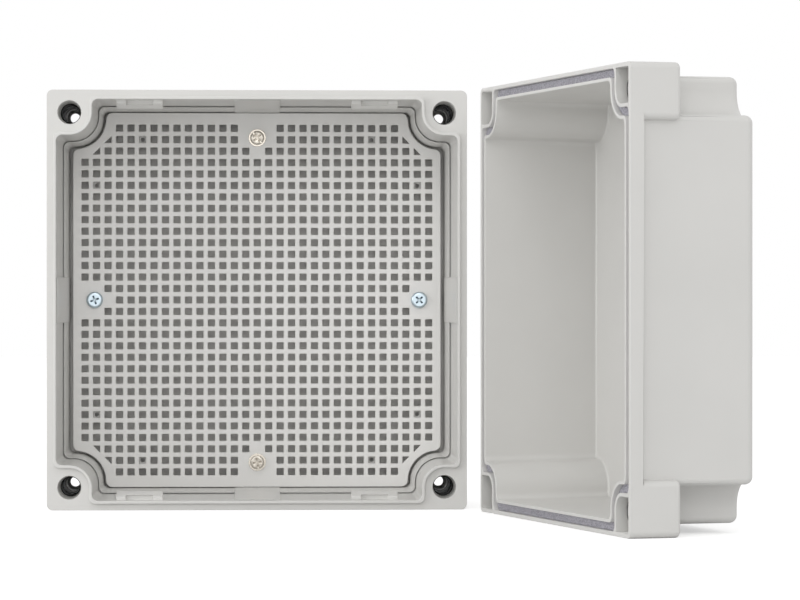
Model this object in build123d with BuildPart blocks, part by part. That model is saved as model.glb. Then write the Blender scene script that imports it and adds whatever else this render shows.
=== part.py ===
from build123d import *
from math import cos, hypot, radians, sin, tan
import os

# Junction box of moulded ABS in two halves, taken apart: a base that holds a perforated
# plate, and a deep lid that stands beside it. Millimetres, +Z up. The base stands on its
# lower side with its open face towards -Y, and the origin is the centre of its back face.

# Overall sizes
side = 280.0
base_depth = 100.0
lid_depth = 81.5
edge_radius = 4.0

# Corner screws: their distance from the outer faces
screw_inset = 15.1

# Tongue round the base's mouth
tongue_inset = 4.4
tongue_width = 2.0
tongue_height = 3.0
tongue_round = 0.5
tongue_reach = 15.1
mouth_radius = 4.0

# Base walls, with a ledge and a narrow trench half way down
wall_draft = 1.9
base_floor = 4.0
ledge_depth = 50.0
ledge_width = 1.0
trench_width = 0.75
trench_depth = 4.0
base_neck_inset = 2.4
base_back_inset = 4.6
column_width = 34.0
back_round = 2.0

# Band round the mouth of each half
band_depth = 8.6
band_fillet = 4.5

# Pads up the middle of each inner wall
pad_width = 31.0
pad_proud = 0.7
pad_foot_proud = 0.5

# Clip seats under the upper and lower edges of the mouth
clip_from_screw = 46.4
clip_width = 31.0
clip_start = 4.0
clip_length = 14.0
clip_proud = 5.6
clip_lip = 2.3
clip_slope = 6.0
clip_flat = 3.0
clip_recess_width = 18.0
clip_recess_depth = 3.0
clip_recess_reach = 3.2

# Corner holes: a socket for the lid screw, a sleeve, and a shaft with a web for the wall screw
socket_radius = 7.9
socket_depth = 18.0
socket_draft = 3.8
insert_radius = 7.5
insert_fit = 0.05
insert_mouth_radius = 6.2
insert_mouth_length = 22.0
insert_bore_radius = 5.5
insert_length = 42.0
insert_chamfer = 0.6
shaft_radius = 5.2
web_height = 19.0
web_thickness = 4.0
wall_hole_radius = 3.35

# Perforated mounting plate
plate_thickness = 4.0
plate_height = 12.0
plate_gap_x = 2.95
plate_gap_z = 0.7
plate_gap_post = 1.9
plate_corner = 4.5
grid_pitch = 7.91
grid_hole = 4.9
grid_margin = 4.0
grid_step = 2
grid_screw_clear = 1.4
grid_corner_clear = 3.6

# Screws that hold the plate
plate_screw_inset = 28.0
plate_screw_radius = 2.0
plate_screw_fit = 0.1
plate_screw_length = 11.0
plate_hole_clearance = 0.4
zinc_head_radius = 5.65
nickel_head_radius = 4.9
head_height = 2.9
head_round = 1.6
cross_length = 6.0
cross_width = 1.1
cross_depth = 1.4
slot_width = 1.3
turn_left = 20
turn_right = 45
turn_top = -50
turn_bottom = -80
washer_radius = 6.0
washer_thickness = 0.8
washer_hole_clearance = 0.2

# Bosses on the base's floor
boss_radius = 6.0
small_boss_radius = 4.2
small_pilot_radius = 1.5
small_boss_gap = 0.5
small_boss_near = 5
small_boss_far = 1
pilot_spare = 1.0

# Lid
lid_outer_wall = 2.6
groove_width = 5.0
groove_depth = 5.5
lid_inner_wall = 2.0
lid_dome_inset = 6.0
lid_wall_draft = 0.8
lid_roof = 3.5
dome_round = 5.0
cavity_round = 1.5
notch_wall = 3.1

# Corner blocks of the lid, with the screws in them
block_width = 34.0
block_height = 32.2
block_round = 2.5
pocket_wall = 2.2
pocket_round = 1.5
pocket_depth = 29.0
tube_wall = 1.8
tube_floor = 2.5
tube_setback = 8.5

# Lid screws
screw_radius = 7.0
screw_head_radius = 8.6
screw_head_height = 5.0
screw_head_clearance = 0.5
screw_hole_clearance = 0.2
screw_tip = 6.5
screw_chamfer = 1.2
screw_slot_width = 2.0
screw_slot_depth = 2.4
retainer_radius = 8.4
retainer_thickness = 1.5
retainer_clearance = 0.12

# Gasket
gasket_side_gap = 0.2
gasket_thickness = 2.2

# Where the lid stands: it's turned about an upright axis from its closed place
swing_angle = 104.5
swing_side_offset = 11.9
swing_front_offset = 7.6
closing_gap = 0.1

# Working allowances: the least straight edge left between bends, and a hair
least_straight = 0.2
hair = 0.01

# Worked-out values
half = side / 2
screw_offset = half - screw_inset
plate_screw_offset = half - plate_screw_inset
tongue_outer_half = half - tongue_inset
tongue_half = tongue_outer_half - tongue_width
plate_back = plate_height
plate_front = plate_height + plate_thickness
plate_depth = base_depth - plate_front
draft_rate = tan(radians(wall_draft))
wall_at_plate = tongue_half - plate_depth * draft_rate - ledge_width
plate_half_x = wall_at_plate - plate_gap_x
plate_half_z = wall_at_plate - plate_gap_z
grid_half_count = int((plate_half_x - grid_margin) / grid_pitch)
swing_x = half + swing_side_offset
swing_y = -base_depth - swing_front_offset


def base_at(height):
    """Plane parallel to the base's back face, this far in front of it."""
    return Plane.XZ.offset(height)


def swung(x, y):
    """A direction of the closed lid, turned to where the lid stands."""
    turn = radians(swing_angle)
    return Vector(x * cos(turn) - y * sin(turn), x * sin(turn) + y * cos(turn), 0)


lid_origin = Vector(swing_x, swing_y, 0) + swung(-swing_x, -base_depth - closing_gap - swing_y)
lid_rim = Plane(origin=lid_origin, x_dir=swung(1, 0), z_dir=swung(0, -1))
lid_axis = Axis(lid_origin, swung(0, -1))


def lid_at(height):
    """Plane parallel to the lid's rim, this far above it."""
    return lid_rim.offset(height)


def corner_cut(outline_half, reach, corner):
    """Outline that runs round the four corner screws, at this reach from each."""
    inner = screw_offset - reach
    cut = 2 * (outline_half - inner)
    with BuildSketch() as outline:
        Rectangle(2 * outline_half, 2 * outline_half)
        with GridLocations(2 * outline_half, 2 * outline_half, 2, 2):
            Rectangle(cut, cut, mode=Mode.SUBTRACT)
        bends = outline.vertices().filter_by(lambda v: max(abs(v.X), abs(v.Y)) > inner + hair)
        fillet(bends, min(corner, outline_half - screw_offset - least_straight))
        hollows = outline.vertices().filter_by(lambda v: max(abs(v.X), abs(v.Y)) < inner + hair)
        fillet(hollows, reach)
    return outline.sketch


def mouth_inset(distance):
    """The line of the tongue's inner edge, moved towards the middle."""
    mouth_half = tongue_half - distance
    return corner_cut(mouth_half, tongue_reach + distance, mouth_radius)


def wall_inset(depth):
    """How far the drafted wall has come in at this depth below the mouth."""
    return depth * draft_rate


# Hollow of the base: drafted walls, and the ledge and trench half way down
floor_depth = base_depth - base_floor
with BuildPart() as base_hollow:
    with BuildSketch(base_at(base_depth)):
        add(mouth_inset(0))
    with BuildSketch(base_at(base_depth - ledge_depth)):
        add(mouth_inset(wall_inset(ledge_depth)))
    loft(ruled=True)
    with BuildSketch(base_at(base_depth - ledge_depth)):
        add(mouth_inset(wall_inset(ledge_depth) + ledge_width))
    with BuildSketch(base_at(base_floor)):
        add(mouth_inset(wall_inset(floor_depth) + ledge_width))
    loft(ruled=True)
    with BuildSketch(base_at(base_depth - ledge_depth)):
        add(mouth_inset(wall_inset(ledge_depth)))
        add(mouth_inset(wall_inset(ledge_depth) + trench_width), mode=Mode.SUBTRACT)
    extrude(amount=-trench_depth)

# Base: walls, corner columns and the band round the mouth
neck_half = half - base_neck_inset
back_half = half - base_back_inset
column_offset = half - column_width / 2
with BuildPart() as base:
    with BuildSketch(base_at(0)):
        RectangleRounded(2 * back_half, 2 * back_half, edge_radius)
    with BuildSketch(base_at(base_depth - band_depth)):
        RectangleRounded(2 * neck_half, 2 * neck_half, edge_radius)
    loft(ruled=True)
    with BuildSketch(base_at(0)):
        with GridLocations(2 * column_offset, 2 * column_offset, 2, 2):
            RectangleRounded(column_width, column_width, edge_radius)
    extrude(amount=base_depth - band_depth)
    with BuildSketch(base_at(base_depth - band_depth)):
        RectangleRounded(side, side, edge_radius)
    extrude(amount=band_depth)
    fillet(base.faces().sort_by(Axis.Y)[-1].edges(), back_round)
    add(base_hollow.part, mode=Mode.SUBTRACT)

    # Tongue that enters the lid's groove
    with BuildSketch(base_at(base_depth)):
        add(mouth_inset(-tongue_width))
        add(mouth_inset(0), mode=Mode.SUBTRACT)
    extrude(amount=tongue_height)
    fillet(base.faces().sort_by(Axis.Y)[0].edges(), tongue_round)

    # Corner holes: tapered socket, seat of the sleeve, shaft, web with the wall hole
    insert_front = base_depth - socket_depth
    insert_back = insert_front - insert_length
    with BuildSketch(base_at(base_depth)):
        with GridLocations(2 * screw_offset, 2 * screw_offset, 2, 2):
            Circle(socket_radius)
    extrude(amount=-socket_depth, taper=socket_draft, mode=Mode.SUBTRACT)
    with BuildSketch(base_at(insert_front)):
        with GridLocations(2 * screw_offset, 2 * screw_offset, 2, 2):
            Circle(insert_radius + insert_fit)
    extrude(amount=-insert_length, mode=Mode.SUBTRACT)
    with BuildSketch(base_at(insert_back)):
        with GridLocations(2 * screw_offset, 2 * screw_offset, 2, 2):
            Circle(shaft_radius)
    extrude(amount=-(insert_back - web_height - web_thickness), mode=Mode.SUBTRACT)
    with BuildSketch(base_at(0)):
        with GridLocations(2 * screw_offset, 2 * screw_offset, 2, 2):
            Circle(shaft_radius)
    extrude(amount=web_height, mode=Mode.SUBTRACT)
    with BuildSketch(base_at(web_height)):
        with GridLocations(2 * screw_offset, 2 * screw_offset, 2, 2):
            Circle(wall_hole_radius)
    extrude(amount=web_thickness, mode=Mode.SUBTRACT)

    # Pads up the middle of each inner wall
    pad_top = tongue_half - pad_proud
    pad_foot = tongue_half - wall_inset(floor_depth) - ledge_width - pad_foot_proud
    for angle in (0, 90, 180, 270):
        with BuildSketch(base_at(base_depth).rotated((0, angle, 0))):
            with Locations(((pad_top + tongue_outer_half) / 2, 0)):
                Rectangle(tongue_outer_half - pad_top, pad_width)
        with BuildSketch(base_at(base_floor).rotated((0, angle, 0))):
            with Locations(((pad_foot + tongue_outer_half) / 2, 0)):
                Rectangle(tongue_outer_half - pad_foot, pad_width)
        loft(ruled=True)

    # Clip seats: a sloped block with a recess between two lugs
    clip_wall = tongue_half - wall_inset(clip_start)
    clip_front = clip_start - base_depth
    clip_offset = screw_offset - clip_from_screw
    for clip_x in (-clip_offset, clip_offset):
        with BuildSketch(Plane.YZ.offset(clip_x - clip_width / 2)):
            with BuildLine():
                Polyline(
                    (clip_front, tongue_outer_half),
                    (clip_front, clip_wall - clip_lip),
                    (clip_front + clip_slope, clip_wall - clip_proud),
                    (clip_front + clip_slope + clip_flat, clip_wall - clip_proud),
                    (clip_front + clip_length, clip_wall - wall_inset(clip_length)),
                    (clip_front + clip_length, tongue_outer_half),
                    close=True,
                )
            make_face()
            mirror(about=Plane.XZ)
        extrude(amount=clip_width)
    with BuildSketch(base_at(base_depth - clip_start)):
        with GridLocations(2 * clip_offset, 2 * clip_wall - clip_recess_reach, 2, 2):
            Rectangle(clip_recess_width, clip_recess_reach)
    extrude(amount=-clip_recess_depth, mode=Mode.SUBTRACT)

    # Bosses under the plate screws, and small ones for accessories
    with BuildSketch(base_at(base_floor)):
        with PolarLocations(plate_screw_offset, 4):
            Circle(boss_radius)
    extrude(amount=plate_back - base_floor)
    near = (grid_half_count - small_boss_near) * grid_pitch
    far = (grid_half_count - small_boss_far) * grid_pitch
    with BuildSketch(base_at(base_floor)):
        with GridLocations(2 * near, 2 * far, 2, 2):
            Circle(small_boss_radius)
        with GridLocations(2 * far, 2 * near, 2, 2):
            Circle(small_boss_radius)
    extrude(amount=plate_back - base_floor - small_boss_gap)
    with BuildSketch(base_at(plate_back)):
        with PolarLocations(plate_screw_offset, 4):
            Circle(plate_screw_radius + plate_screw_fit)
        with GridLocations(2 * near, 2 * far, 2, 2):
            Circle(small_pilot_radius)
        with GridLocations(2 * far, 2 * near, 2, 2):
            Circle(small_pilot_radius)
    extrude(amount=-(plate_screw_length - plate_thickness + pilot_spare), mode=Mode.SUBTRACT)
base.part.label = "base"

# Corners, as seen in the open base and from outside on the closed lid
corners = {"top_left": (-1, 1), "top_right": (1, 1), "bottom_left": (-1, -1), "bottom_right": (1, -1)}

# Sleeves in the base's corners, each with a chamfered step half way down its bore
inserts = {}
for corner, (across, up) in corners.items():
    with BuildPart() as insert:
        with BuildSketch(base_at(insert_back)):
            with Locations((across * screw_offset, up * screw_offset)):
                Circle(insert_radius)
                Circle(insert_bore_radius, mode=Mode.SUBTRACT)
        extrude(amount=insert_length)
        with BuildSketch(base_at(insert_front)):
            with Locations((across * screw_offset, up * screw_offset)):
                Circle(insert_mouth_radius)
        extrude(amount=-insert_mouth_length, mode=Mode.SUBTRACT)
        rings = insert.edges().filter_by(GeomType.CIRCLE).group_by(Axis.Y)
        chamfer(rings[1].sort_by(SortBy.RADIUS)[0], insert_chamfer)
    insert.part.label = "corner_insert_" + corner
    inserts[insert.part.label] = insert.part


def is_open_hole(column, row):
    """Whether the plate has a hole here, clear of its four screws and its corners."""
    across, up = abs(column), abs(row)
    screw_step = plate_screw_offset / grid_pitch
    post_step = screw_offset / grid_pitch
    screw_distance = min(hypot(across - screw_step, up), hypot(across, up - screw_step))
    corner_distance = hypot(across - post_step, up - post_step)
    return screw_distance > grid_screw_clear and corner_distance > grid_corner_clear


# Mounting plate with its grid of square holes
plate_reach = tongue_reach + wall_inset(plate_depth) + ledge_width + plate_gap_post
plate_hole_radius = plate_screw_radius + plate_hole_clearance
grid_steps = range(-grid_half_count, grid_half_count + 1, grid_step)
with BuildPart() as mounting_plate:
    with BuildSketch(base_at(plate_back)) as plate_outline:
        Rectangle(2 * plate_half_x, 2 * plate_half_z)
        with PolarLocations(hypot(screw_offset, screw_offset), 4, 45):
            Circle(plate_reach, mode=Mode.SUBTRACT)
        fillet(plate_outline.vertices(), plate_corner)
        with PolarLocations(plate_screw_offset, 4):
            Circle(plate_hole_radius, mode=Mode.SUBTRACT)
    extrude(amount=plate_thickness)
    grid_points = []
    for column in grid_steps:
        for row in grid_steps:
            if is_open_hole(column, row):
                grid_points.append((column * grid_pitch, row * grid_pitch))
    with BuildSketch(base_at(plate_back)):
        with Locations(grid_points):
            Rectangle(grid_hole, grid_hole)
    extrude(amount=plate_thickness, mode=Mode.SUBTRACT)
mounting_plate.part.label = "mounting_plate"


def plate_screw(x, z, head_radius, seat, turn, slotted):
    """Pan head screw through the plate, its head seated this far off the back face."""
    with BuildPart() as screw:
        with BuildSketch(base_at(seat)):
            with Locations((x, z)):
                Circle(head_radius)
        extrude(amount=head_height)
        fillet(screw.edges().group_by(Axis.Y)[0], head_round)
        with BuildSketch(base_at(seat)):
            with Locations((x, z)):
                Circle(plate_screw_radius)
        extrude(amount=-plate_screw_length)
        chamfer(screw.edges().group_by(Axis.Y)[-1], plate_screw_radius / 2)
        with BuildSketch(base_at(seat + head_height)):
            with Locations((x, z)):
                Rectangle(cross_length, cross_width, rotation=turn)
                Rectangle(cross_width, cross_length, rotation=turn)
                if slotted:
                    Rectangle(2 * head_radius, slot_width, rotation=turn)
        extrude(amount=-cross_depth, mode=Mode.SUBTRACT)
    return screw.part


# Plate screws: cross heads at the sides, slotted ones on washers above and below
washer_seat = plate_front + washer_thickness
offset = plate_screw_offset
plate_screws = {
    "plate_screw_left": plate_screw(-offset, 0, zinc_head_radius, plate_front, turn_left, False),
    "plate_screw_right": plate_screw(offset, 0, zinc_head_radius, plate_front, turn_right, False),
    "plate_screw_top": plate_screw(0, offset, nickel_head_radius, washer_seat, turn_top, True),
    "plate_screw_bottom": plate_screw(0, -offset, nickel_head_radius, washer_seat, turn_bottom, True),
}
washers = {}
for name, up in (("plate_washer_top", 1), ("plate_washer_bottom", -1)):
    with BuildPart() as washer:
        with BuildSketch(base_at(plate_front)):
            with Locations((0, up * plate_screw_offset)):
                Circle(washer_radius)
                Circle(plate_screw_radius + washer_hole_clearance, mode=Mode.SUBTRACT)
        extrude(amount=washer_thickness)
    washers[name] = washer.part

# Groove of the lid, centred on the tongue
groove_out = (groove_width - tongue_width) / 2
groove_shift = (half - lid_outer_wall - groove_width / 2) - (tongue_half + tongue_width / 2)
groove_outer = -tongue_width - groove_out - groove_shift
groove_inner = groove_outer + groove_width
lid_mouth = groove_inner + lid_inner_wall

# Hollow of the lid
lid_draft_inset = (lid_depth - lid_roof) * tan(radians(lid_wall_draft))
with BuildPart() as lid_hollow:
    with BuildSketch(lid_at(0)):
        add(mouth_inset(lid_mouth))
    with BuildSketch(lid_at(lid_depth - lid_roof)):
        add(mouth_inset(lid_mouth + lid_draft_inset))
    loft(ruled=True)
    fillet(lid_hollow.faces().sort_by(lid_axis)[-1].edges(), cavity_round)

# Corner blocks of the lid
block_offset = half - block_width / 2
with BuildPart() as blocks:
    with BuildSketch(lid_at(0)):
        with GridLocations(2 * block_offset, 2 * block_offset, 2, 2):
            RectangleRounded(block_width, block_width, edge_radius)
    extrude(amount=block_height)
    fillet(blocks.faces().group_by(lid_axis)[-1].edges(), block_round)

# Lid: dome, band round the rim, and corner blocks
dome_half = half - lid_dome_inset
dome_reach = tongue_reach + lid_mouth - notch_wall
dome_profile = corner_cut(dome_half, dome_reach, mouth_radius)
head_seat = tube_setback + tube_floor
tube_radius = screw_head_radius + screw_head_clearance + tube_wall
pocket_half = half - lid_outer_wall
with BuildPart() as lid:
    with BuildSketch(lid_at(0)):
        add(dome_profile)
    extrude(amount=lid_depth)
    fillet(lid.faces().sort_by(lid_axis)[-1].edges(), dome_round)
    with BuildSketch(lid_at(0)):
        RectangleRounded(side, side, edge_radius)
    extrude(amount=band_depth)
    band_face = lid.faces().filter_by(lid_rim).group_by(lid_axis)[1]
    band_edges = band_face.edges().filter_by(lambda edge: edge.length > side / 2)
    inner_edges = band_edges.filter_by(lambda edge: edge.length < side - 2 * edge_radius - hair)
    fillet(inner_edges, band_fillet)
    add(blocks.part)
    add(lid_hollow.part, mode=Mode.SUBTRACT)

    # Groove for the gasket
    with BuildSketch(lid_at(0)):
        add(mouth_inset(groove_outer))
        add(mouth_inset(groove_inner), mode=Mode.SUBTRACT)
    extrude(amount=groove_depth, mode=Mode.SUBTRACT)

    # Hollow corner pockets beyond the groove's wall, each with the tube that guides its screw
    with BuildSketch(lid_at(0)):
        RectangleRounded(2 * pocket_half, 2 * pocket_half, pocket_round)
        add(mouth_inset(groove_outer - pocket_wall), mode=Mode.SUBTRACT)
    extrude(amount=pocket_depth, mode=Mode.SUBTRACT)
    with BuildSketch(lid_at(tube_setback)):
        with GridLocations(2 * screw_offset, 2 * screw_offset, 2, 2):
            Circle(tube_radius)
    extrude(amount=block_height - tube_setback)
    with BuildSketch(lid_at(head_seat)):
        with GridLocations(2 * screw_offset, 2 * screw_offset, 2, 2):
            Circle(screw_head_radius + screw_head_clearance)
    extrude(amount=block_height - head_seat, mode=Mode.SUBTRACT)
    with BuildSketch(lid_at(tube_setback)):
        with GridLocations(2 * screw_offset, 2 * screw_offset, 2, 2):
            Circle(screw_radius + screw_hole_clearance)
    extrude(amount=tube_floor, mode=Mode.SUBTRACT)
lid.part.label = "lid"

# Gasket in the groove
with BuildPart() as gasket:
    with BuildSketch(lid_at(groove_depth - gasket_thickness)):
        add(mouth_inset(groove_outer + gasket_side_gap))
        add(mouth_inset(groove_inner - gasket_side_gap), mode=Mode.SUBTRACT)
    extrude(amount=gasket_thickness)
gasket.part.label = "gasket"

# Lid screws, drawn back into their blocks, and the rings that keep them there
lid_screws = {}
for corner, (across, up) in corners.items():
    spot = (across * screw_offset, up * screw_offset)
    with BuildPart() as screw:
        with BuildSketch(lid_at(block_height - screw_head_height)):
            with Locations(spot):
                Circle(screw_head_radius)
        extrude(amount=screw_head_height)
        with BuildSketch(lid_at(screw_tip)):
            with Locations(spot):
                Circle(screw_radius)
        extrude(amount=block_height - screw_head_height - screw_tip)
        chamfer(screw.edges().group_by(lid_axis)[0], screw_chamfer)
        with BuildSketch(lid_at(block_height)):
            with Locations(spot):
                Rectangle(2 * screw_head_radius, screw_slot_width)
        extrude(amount=-screw_slot_depth, mode=Mode.SUBTRACT)
    lid_screws["lid_screw_" + corner] = screw.part
    with BuildPart() as retainer:
        with BuildSketch(lid_at(tube_setback - retainer_thickness)):
            with Locations(spot):
                Circle(retainer_radius)
                Circle(screw_radius + retainer_clearance, mode=Mode.SUBTRACT)
        extrude(amount=retainer_thickness)
    lid_screws["screw_retainer_" + corner] = retainer.part

# Every piece is written to a file of its own
pieces = {"base": base.part, "mounting_plate": mounting_plate.part}
pieces.update({"lid": lid.part, "gasket": gasket.part})
for group in (inserts, plate_screws, washers, lid_screws):
    pieces.update(group)
os.makedirs("parts", exist_ok=True)
for name, piece in pieces.items():
    piece.label = name
    export_step(piece, f"parts/{name}.step")
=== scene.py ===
from math import pi, radians

import bmesh
import bpy
from mathutils import Matrix, Vector


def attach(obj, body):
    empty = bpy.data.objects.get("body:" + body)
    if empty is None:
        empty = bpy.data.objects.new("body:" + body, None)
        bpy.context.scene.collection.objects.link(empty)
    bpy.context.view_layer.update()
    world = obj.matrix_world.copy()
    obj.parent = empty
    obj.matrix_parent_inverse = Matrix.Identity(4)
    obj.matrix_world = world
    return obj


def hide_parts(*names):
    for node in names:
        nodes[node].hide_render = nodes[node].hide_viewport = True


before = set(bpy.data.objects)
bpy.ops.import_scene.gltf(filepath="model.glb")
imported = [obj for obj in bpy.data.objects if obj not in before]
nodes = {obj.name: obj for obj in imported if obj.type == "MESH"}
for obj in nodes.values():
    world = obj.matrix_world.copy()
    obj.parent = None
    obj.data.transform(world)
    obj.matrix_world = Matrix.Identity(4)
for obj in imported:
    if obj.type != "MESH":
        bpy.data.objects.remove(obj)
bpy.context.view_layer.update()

# Camera: it stands level with the middle of the box, 2.3 m in front of the open base, and is
# turned a little to the right. That puts the base left of the middle and the lid right.
camera_place = (-0.000915, -2.41225, 0.0)
camera_turn_right = radians(2.381)
camera_lens = 155.93

camera_data = bpy.data.cameras.new("camera")
camera_data.lens = camera_lens
camera_data.sensor_width = 36.0
camera_data.sensor_fit = "HORIZONTAL"
camera_data.clip_start = 0.1
camera_data.clip_end = 50.0
camera = bpy.data.objects.new("camera", camera_data)
camera.location = camera_place
camera.rotation_euler = (radians(90), 0, -camera_turn_right)
bpy.context.scene.collection.objects.link(camera)
bpy.context.scene.camera = camera


# Base: the deep tray of the box, injection moulded in light grey ABS. Its faces are satin
# from a fine spark-eroded mould, so they scatter light softly with a weak broad gloss.
def linear(hex_colour):
    """An sRGB hex colour as linear red, green, blue and alpha."""
    shares = [int(hex_colour[i:i + 2], 16) / 255 for i in (1, 3, 5)]
    return [s / 12.92 if s <= 0.04045 else ((s + 0.055) / 1.055) ** 2.4 for s in shares] + [1.0]


def add_node(tree, kind, settings=(), links=()):
    """Adds a shader node, gives it its settings, and links sockets into its inputs."""
    new = tree.nodes.new(kind)
    for name, value in dict(settings).items():
        if isinstance(name, int) or name in new.inputs:
            new.inputs[name].default_value = value
        else:
            setattr(new, name, value)
    for name, socket in dict(links).items():
        tree.links.new(socket, new.inputs[name])
    return new


def new_material(name):
    """An empty node material: its tree and its Principled shader."""
    made = bpy.data.materials.new(name)
    made.use_nodes = True
    return made, made.node_tree, made.node_tree.nodes["Principled BSDF"]


def moulded_plastic(name, colour, shade_colour, roughness, grain_mm, grain_height_mm):
    """Satin moulded plastic: clouded colour, uneven gloss and a spark-eroded grain."""
    made, tree, shader = new_material(name)
    place = add_node(tree, "ShaderNodeTexCoord").outputs["Object"]
    clouds = add_node(tree, "ShaderNodeTexNoise", {"Scale": 1 / 0.055, "Detail": 3.0, "Roughness": 0.5},
                      {"Vector": place})
    tone = add_node(tree, "ShaderNodeValToRGB", {}, {"Fac": clouds.outputs["Fac"]})
    tone.color_ramp.elements[0].position = 0.3
    tone.color_ramp.elements[0].color = linear(shade_colour)
    tone.color_ramp.elements[1].position = 0.7
    tone.color_ramp.elements[1].color = linear(colour)
    tree.links.new(tone.outputs["Color"], shader.inputs["Base Color"])
    gloss = add_node(tree, "ShaderNodeTexNoise", {"Scale": 1 / 0.009, "Detail": 2.0}, {"Vector": place})
    spread = add_node(tree, "ShaderNodeMapRange", {"To Min": roughness - 0.04, "To Max": roughness + 0.04},
                      {"Value": gloss.outputs["Fac"]})
    tree.links.new(spread.outputs["Result"], shader.inputs["Roughness"])
    grain = add_node(tree, "ShaderNodeTexNoise", {"Scale": 1000 / grain_mm, "Detail": 2.0}, {"Vector": place})
    bump = add_node(tree, "ShaderNodeBump", {"Distance": grain_height_mm / 1000, "Strength": 0.5},
                    {"Height": grain.outputs["Fac"]})
    tree.links.new(bump.outputs["Normal"], shader.inputs["Normal"])
    shader.inputs["IOR"].default_value = 1.54
    return made


# The real grain is about 0.1 mm across. It's drawn 0.8 mm across, so that it shows at all.
base_plastic = moulded_plastic("light_grey_abs", "#dbdad7", "#d8d7d4", 0.36, 0.8, 0.02)


def finished(mesh, name, body, material, replaced=(), smooth_under=0.0):
    """Makes a bmesh into a piece that rides on a body and stands for CAD nodes."""
    data = bpy.data.meshes.new(name)
    bmesh.ops.recalc_face_normals(mesh, faces=mesh.faces)
    mesh.to_mesh(data)
    mesh.free()
    data.materials.append(material)
    piece = bpy.data.objects.new(name, data)
    bpy.context.scene.collection.objects.link(piece)
    if smooth_under:
        data.shade_smooth()
        data.set_sharp_from_angle(angle=radians(smooth_under))
    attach(piece, body)
    if replaced:
        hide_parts(*replaced)
    return piece


# Points this close are one point. Faces that meet under the flat angle are one face, edges over
# the sharp angle get a round, and shading stays smooth under the smooth one.
same_point = 1e-6
flat_under, sharp_over, smooth_angle = radians(1), radians(40), 35


def softened(node_name, name, body, material, edge_round, kept=lambda edge: False):
    """A copy of a CAD solid, its sharp edges broken by a small round except those to be kept."""
    mesh = bmesh.new()
    mesh.from_mesh(nodes[node_name].data)
    bmesh.ops.remove_doubles(mesh, verts=mesh.verts, dist=same_point)
    bmesh.ops.dissolve_limit(mesh, angle_limit=flat_under, verts=mesh.verts, edges=mesh.edges)
    sharp = [edge for edge in mesh.edges if edge.is_manifold and edge.calc_face_angle(0) > sharp_over
             and not kept(edge)]
    # A round wider than an edge is long would throw its points out of the surface
    crowded = {vert for edge in sharp if edge.calc_length() < edge_round for vert in edge.verts}
    sharp = [edge for edge in sharp if not crowded.intersection(edge.verts)]
    lows = [min(vert.co[axis] for vert in mesh.verts) for axis in range(3)]
    highs = [max(vert.co[axis] for vert in mesh.verts) for axis in range(3)]
    bmesh.ops.bevel(mesh, geom=sharp, offset=edge_round, segments=2, profile=0.5, affect="EDGES", material=-1)
    # Where two rounds meet at a slant, a point can still end outside the solid's own box
    for vert in mesh.verts:
        vert.co = [min(max(value, low), high) for value, low, high in zip(vert.co, lows, highs)]
    piece = finished(mesh, name, body, material, [node_name], smooth_angle)
    piece.modifiers.new("flat_faces", "WEIGHTED_NORMAL").keep_sharp = True
    return piece


# The lip of the trench half way down the walls is too thin to be rounded
trench_front, trench_floor = -0.0502, -0.0455
base_round = 0.0004
softened("base", "base_moulding", "base", base_plastic, base_round,
         lambda edge: any(trench_front < v.co.y < trench_floor for v in edge.verts))


# Sleeves: black rubbery plastic bushes moulded into the four corner columns, with a weak gloss.
# A pale band round the bore's step is a painted highlight: the bright arc of light on its chamfer.
sleeve_step = -0.0597
highlight_half_width = 0.0004
sleeve_round = 0.0002
sleeve_plastic = moulded_plastic("black_thermoplastic_rubber", "#0c0c0e", "#0a0a0c", 0.45, 0.8, 0.01)
tree = sleeve_plastic.node_tree
shader = tree.nodes["Principled BSDF"]
shader.inputs["Specular IOR Level"].default_value = 0.12
place = add_node(tree, "ShaderNodeTexCoord").outputs["Object"]
level = add_node(tree, "ShaderNodeSeparateXYZ", {}, {"Vector": place})
# Painted highlight: a pale band of colour at the bore's step, where its chamfer catches the light.
painted_highlight_band = add_node(tree, "ShaderNodeMath", {"operation": "COMPARE", 1: sleeve_step, 2: highlight_half_width},
                  {0: level.outputs["Y"]})
sleeve_colour_with_highlight = add_node(tree, "ShaderNodeMix", {"data_type": "RGBA", 7: linear("#e0e1e4")},
                {0: painted_highlight_band.outputs[0], 6: shader.inputs["Base Color"].links[0].from_socket})
tree.links.new(sleeve_colour_with_highlight.outputs[2], shader.inputs["Base Color"])
for corner in ("top_left", "top_right", "bottom_left", "bottom_right"):
    softened("corner_insert_" + corner, "sleeve_" + corner, "base", sleeve_plastic,
             sleeve_round)


# Mounting plate: a flat moulded ABS plate with a grid of square holes, to which devices are
# screwed. It lies on four bosses. The front is drawn, filled and then extruded to the back, and
# every hole has a small round at its corners and front edge.
plate_back = 0.012
plate_thickness = 0.004
plate_half_x = 0.12686
plate_half_z = 0.12911
post_offset = 0.1249
post_reach = 0.020786
plate_corner = 0.0045
plate_edge = 0.0003
hole_pitch = 0.00791
hole_side = 0.0049
hole_corner = 0.0006
holes_from_middle = 15
# No hole lies this near a screw or a post, and those within triangle_clear of a post lose a corner
screw_clear = 1.4 * hole_pitch
corner_clear = 3.1 * hole_pitch
triangle_clear = 3.6 * hole_pitch
plate_screw_offset = 0.112
plate_screw_hole = 0.0024
plate_screws = {"left": (-plate_screw_offset, 0), "right": (plate_screw_offset, 0),
                "top": (0, plate_screw_offset), "bottom": (0, -plate_screw_offset)}
posts = [Vector((x * post_offset, z * post_offset)) for x in (-1, 1) for z in (-1, 1)]

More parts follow.
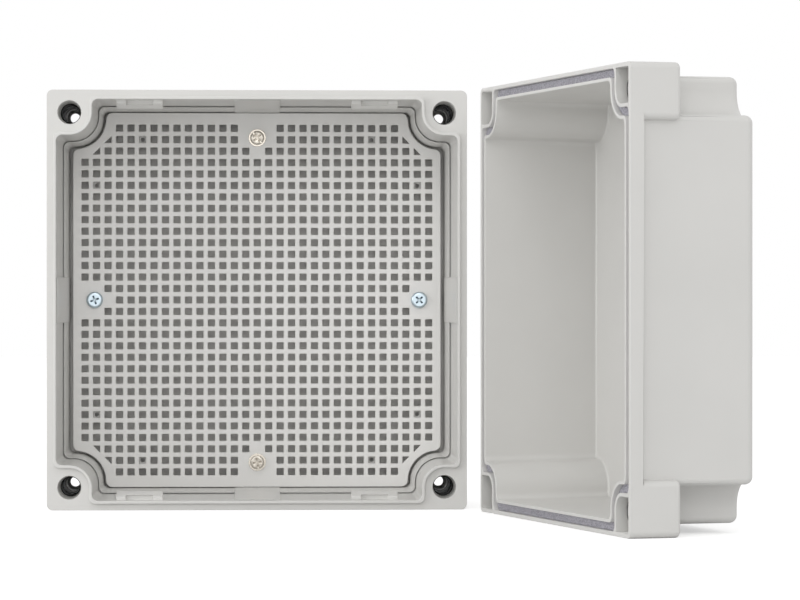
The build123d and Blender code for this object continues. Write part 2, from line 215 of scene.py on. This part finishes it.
# The rounded corners beside each post touch the plate's straight side and the arc round the post
plate_front = -plate_back - plate_thickness
post = Vector((post_offset, post_offset))
bend_reach = post_reach + plate_corner
upper_bend_z, side_bend_x = plate_half_z - plate_corner, plate_half_x - plate_corner
upper_bend_x = post_offset - (bend_reach ** 2 - (post_offset - upper_bend_z) ** 2) ** 0.5
side_bend_z = post_offset - (bend_reach ** 2 - (post_offset - side_bend_x) ** 2) ** 0.5
upper_bend, side_bend = Vector((upper_bend_x, upper_bend_z)), Vector((side_bend_x, side_bend_z))
plate = bmesh.new()
middle_of_top = plate.verts.new((0, plate_front, plate_half_z))
point = corner_start = plate.verts.new((upper_bend.x, plate_front, plate_half_z))
to_post, from_post = post - upper_bend, post - side_bend
upwards, sideways = Vector((0, 1)), Vector((1, 0))
for centre, angle, steps in ((upper_bend, upwards.angle(to_post), 5),
                             (post, -to_post.angle(from_post), 12),
                             (side_bend, from_post.angle(sideways), 5)):
    arc = bmesh.ops.spin(plate, geom=[point], cent=(centre.x, plate_front, centre.y), axis=(0, 1, 0),
                         angle=angle, steps=steps)
    point = [part for part in arc["geom_last"] if isinstance(part, bmesh.types.BMVert)][0]
middle_of_side = plate.verts.new((plate_half_x, plate_front, 0))
plate.edges.new((middle_of_top, corner_start))
plate.edges.new((point, middle_of_side))
for axis in ("X", "Z"):
    whole = plate.verts[:] + plate.edges[:]
    bmesh.ops.mirror(plate, geom=whole, axis=axis, merge_dist=same_point)
bmesh.ops.remove_doubles(plate, verts=plate.verts, dist=same_point)

facing = Matrix.Rotation(pi / 2, 4, "X")
square_points = []
for column in range(-holes_from_middle, holes_from_middle + 1):
    for row in range(-holes_from_middle, holes_from_middle + 1):
        spot = Vector((column * hole_pitch, row * hole_pitch))
        to_screw = min((spot - Vector(screw)).length for screw in plate_screws.values())
        post = min(posts, key=lambda post: (spot - post).length)
        to_post = (spot - post).length
        if to_screw < screw_clear or to_post < corner_clear:
            continue
        here = Matrix.Translation((spot.x, plate_front, spot.y)) @ facing
        square = bmesh.ops.create_grid(plate, x_segments=1, y_segments=1, size=hole_side / 2,
                                       matrix=here)["verts"]
        if to_post < triangle_clear:
            nearest = min(square, key=lambda v: (Vector((v.co.x, v.co.z)) - post).length)
            square.remove(nearest)
            bmesh.ops.dissolve_verts(plate, verts=[nearest])
        square_points += square
bmesh.ops.bevel(plate, geom=square_points, offset=hole_corner, segments=2, profile=0.5, affect="VERTICES")
for x, z in plate_screws.values():
    here = Matrix.Translation((x, plate_front, z)) @ facing
    bmesh.ops.create_circle(plate, cap_ends=True, segments=24, radius=plate_screw_hole, matrix=here)
bmesh.ops.delete(plate, geom=plate.faces[:], context="FACES_ONLY")
bmesh.ops.triangle_fill(plate, edges=plate.edges[:], use_beauty=True, normal=(0, -1, 0))
back = bmesh.ops.extrude_face_region(plate, geom=plate.faces[:], use_keep_orig=True)["geom"]
back_points = [part for part in back if isinstance(part, bmesh.types.BMVert)]
bmesh.ops.translate(plate, verts=back_points, vec=(0, plate_thickness, 0))
rims = [edge for edge in plate.edges if edge.is_manifold and edge.calc_face_angle(0) > radians(60)
        and all(abs(v.co.y - plate_front) < same_point for v in edge.verts)]
bmesh.ops.bevel(plate, geom=rims, offset=plate_edge, segments=2, profile=0.5, affect="EDGES", material=-1)
plate_plastic = moulded_plastic("light_grey_abs_plate", "#e8e7e5", "#e5e4e1", 0.36, 0.8, 0.02)
finished(plate, "plate_grid", "plate", plate_plastic, ["mounting_plate"])


# Plate screws and washers: pan heads with a cross recess, blue zinc plated at the sides, and
# nickel plated with a slot as well above and below, on washers. Plating is bright and smooth.
head_top = {"zinc": -0.0189, "nickel": -0.0197}
recess_reach = 0.0031
recess_start = 0.0002
screw_round = 0.0002


def plated_metal(name, colour, recess_shade_colour, roughness, screw_row, top):
    """Thinly plated steel: faintly cloudy gloss, and painted shade in the driver's recess, a darker colour for
    its shadow.
    """
    made, tree, shader = new_material(name)
    place = add_node(tree, "ShaderNodeTexCoord").outputs["Object"]
    clouds = add_node(tree, "ShaderNodeTexNoise", {"Scale": 1 / 0.0015, "Detail": 3.0}, {"Vector": place})
    spread = add_node(tree, "ShaderNodeMapRange", {"To Min": roughness - 0.06, "To Max": roughness + 0.06},
                      {"Value": clouds.outputs["Fac"]})
    away = add_node(tree, "ShaderNodeVectorMath", {"operation": "ABSOLUTE"}, {0: place})
    offset = add_node(tree, "ShaderNodeVectorMath", {"operation": "SUBTRACT", 1: screw_row},
                      {0: away.outputs["Vector"]})
    across = add_node(tree, "ShaderNodeVectorMath", {"operation": "MULTIPLY", 1: (1, 0, 1)},
                      {0: offset.outputs["Vector"]})
    radius = add_node(tree, "ShaderNodeVectorMath", {"operation": "LENGTH"}, {0: across.outputs["Vector"]})
    near = add_node(tree, "ShaderNodeMath", {"operation": "LESS_THAN", 1: recess_reach},
                    {0: radius.outputs["Value"]})
    level = add_node(tree, "ShaderNodeSeparateXYZ", {}, {"Vector": place})
    deep = add_node(tree, "ShaderNodeMapRange",
                    {"From Min": top + recess_start, "From Max": top + 3 * recess_start},
                    {"Value": level.outputs["Y"]})
    inside = add_node(tree, "ShaderNodeMath", {"operation": "MULTIPLY"},
                      {0: near.outputs[0], 1: deep.outputs["Result"]})
    # The painted shade is weaker in the middle of the cross and full towards the ends of its arms
    arm = add_node(tree, "ShaderNodeMapRange", {"From Min": 0.2 * recess_reach, "From Max": 0.7 * recess_reach,
                                                "To Min": 0.3, "To Max": 1.0}, {"Value": radius.outputs["Value"]})
    painted_recess_shade = add_node(tree, "ShaderNodeMath", {"operation": "MULTIPLY"},
                    {0: inside.outputs[0], 1: arm.outputs["Result"]})
    # Painted shade: inside the driver's recess the colour darkens, standing in for the recess's shadow.
    tone = add_node(tree, "ShaderNodeValToRGB", {}, {"Fac": painted_recess_shade.outputs[0]})
    tone.color_ramp.elements[0].color = linear(colour)
    tone.color_ramp.elements[1].color = linear(recess_shade_colour)
    tree.links.new(tone.outputs["Color"], shader.inputs["Base Color"])
    tree.links.new(spread.outputs["Result"], shader.inputs["Roughness"])
    shader.inputs["Metallic"].default_value = 1.0
    return made


# The second colour of each metal is the painted shade in its driver's recess.
zinc = plated_metal("blue_zinc_plate", "#c4d2da", "#33454e", 0.3,
                    (plate_screw_offset, 0, 0), head_top["zinc"])
nickel = plated_metal("nickel_plate", "#d6cfc4", "#a0978a", 0.28,
                      (0, 0, plate_screw_offset), head_top["nickel"])
for place, slot, metal in (("left", "zinc", zinc), ("right", "zinc", zinc),
                           ("top", "nickel", nickel), ("bottom", "nickel", nickel)):
    softened("plate_screw_" + place, "screw_" + place, "plate", metal, screw_round)
for place in ("top", "bottom"):
    softened("plate_washer_" + place, "washer_" + place, "plate", nickel, screw_round)


# Lid: the deep cover, moulded in the same satin ABS as the base. It's the CAD solid with its
# sharp edges broken by a small round.
lid_round = 0.0004
lid_plastic = moulded_plastic("light_grey_abs_lid", "#dbdad7", "#d8d7d4", 0.36, 0.8, 0.02)
softened("lid", "lid_moulding", "lid", lid_plastic, lid_round)


# Gasket: a strip of open speckled grey foam laid in the lid's groove. It's the CAD solid with a
# foam material, whose cells are dark in the middle, painted shade in the open pores, and light between.
cell_size = 0.0009
foam, tree, shader = new_material("speckled_foam")
place = add_node(tree, "ShaderNodeTexCoord").outputs["Object"]
specks = add_node(tree, "ShaderNodeTexVoronoi", {"Scale": 1 / cell_size}, {"Vector": place})
tone = add_node(tree, "ShaderNodeValToRGB", {}, {"Fac": specks.outputs["Distance"]})
# Painted shade: the dark colour at the cells' middles stands for shadow in the foam's pores.
tone.color_ramp.elements[0].position = 0.2
tone.color_ramp.elements[0].color = linear("#77767f")
tone.color_ramp.elements[1].position = 0.6
tone.color_ramp.elements[1].color = linear("#b5b3bb")
tree.links.new(tone.outputs["Color"], shader.inputs["Base Color"])
shader.inputs["Roughness"].default_value = 0.9
nodes["gasket"].data.materials.clear()
nodes["gasket"].data.materials.append(foam)


# Lid screws and their rings: plain rods of grey nylon, each kept in its block by a black rubber
# ring. Both are the CAD solids with new materials.
screw_plastic = moulded_plastic("grey_nylon", "#b9b9b7", "#b4b4b2", 0.4, 0.8, 0.02)
ring_rubber = moulded_plastic("black_rubber", "#202022", "#1a1a1c", 0.7, 0.8, 0.02)
for corner in ("top_left", "top_right", "bottom_left", "bottom_right"):
    nodes["lid_screw_" + corner].data.materials.clear()
    nodes["lid_screw_" + corner].data.materials.append(screw_plastic)
    nodes["screw_retainer_" + corner].data.materials.clear()
    nodes["screw_retainer_" + corner].data.materials.append(ring_rubber)


# Floor and lights: a plain pale table, a strong soft lamp far to the left of the box, three
# weak ones above and in front, and an even white room.
floor_level = -0.14
floor_half = 6
floor_mesh = bmesh.new()
bmesh.ops.create_grid(floor_mesh, x_segments=8, y_segments=8, size=floor_half,
                      matrix=Matrix.Translation((0, 0, floor_level)))
floor_data = bpy.data.meshes.new("floor")
floor_mesh.to_mesh(floor_data)
floor_mesh.free()
floor = bpy.data.objects.new("floor", floor_data)
bpy.context.scene.collection.objects.link(floor)
table, tree, shader = new_material("white_table")
shader.inputs["Base Color"].default_value = linear("#e6e6e6")
shader.inputs["Roughness"].default_value = 0.9
seen = add_node(tree, "ShaderNodeLightPath")
table_glow = 0.5
bright = add_node(tree, "ShaderNodeMath", {"operation": "MULTIPLY", 1: table_glow},
                  {0: seen.outputs["Is Camera Ray"]})
glow = add_node(tree, "ShaderNodeEmission", {}, {"Strength": bright.outputs[0]})
both = add_node(tree, "ShaderNodeAddShader", {}, {0: shader.outputs[0], 1: glow.outputs[0]})
tree.links.new(both.outputs[0], tree.nodes["Material Output"].inputs["Surface"])
floor_data.materials.append(table)

world = bpy.data.worlds.new("room")
bpy.context.scene.world = world
world.use_nodes = True
tree = world.node_tree
background = tree.nodes["Background"]
background.inputs["Color"].default_value = (1, 1, 1, 1)
seen = add_node(tree, "ShaderNodeLightPath")
direct = add_node(tree, "ShaderNodeMath", {"operation": "MAXIMUM"},
                  {0: seen.outputs["Is Camera Ray"], 1: seen.outputs["Is Transmission Ray"]})
direct = add_node(tree, "ShaderNodeMath", {"operation": "MAXIMUM"},
                  {0: direct.outputs[0], 1: seen.outputs["Is Glossy Ray"]})
room_level, seen_level = 0.7, 1.0
strength = add_node(tree, "ShaderNodeMapRange", {"To Min": room_level, "To Max": seen_level},
                    {"Value": direct.outputs[0]})
tree.links.new(strength.outputs["Result"], background.inputs["Strength"])


lit_point = (0.05, -0.1, 0)


def lamp(name, place, width, height, power):
    """A soft lamp of this width and height, in metres and watts, that shines on the box."""
    light = bpy.data.lights.new(name, "AREA")
    light.shape = "RECTANGLE"
    light.size = width
    light.size_y = height
    light.energy = power
    holder = bpy.data.objects.new(name, light)
    holder.location = place
    holder.rotation_euler = (Vector(lit_point) - Vector(place)).to_track_quat("-Z", "Y").to_euler()
    bpy.context.scene.collection.objects.link(holder)


lamp("above_camera", (0.0, -2.6, 1.2), 1.0, 1.0, 8)
lamp("front", (0.1, -3.0, 0.3), 1.6, 0.8, 4)
lamp("top", (-0.4, -1.6, 2.2), 1.2, 1.2, 5)
lamp("far_left", (-2.4, -1.2, 0.4), 1.2, 1.2, 17)
bpy.context.scene.view_settings.view_transform = "Standard"
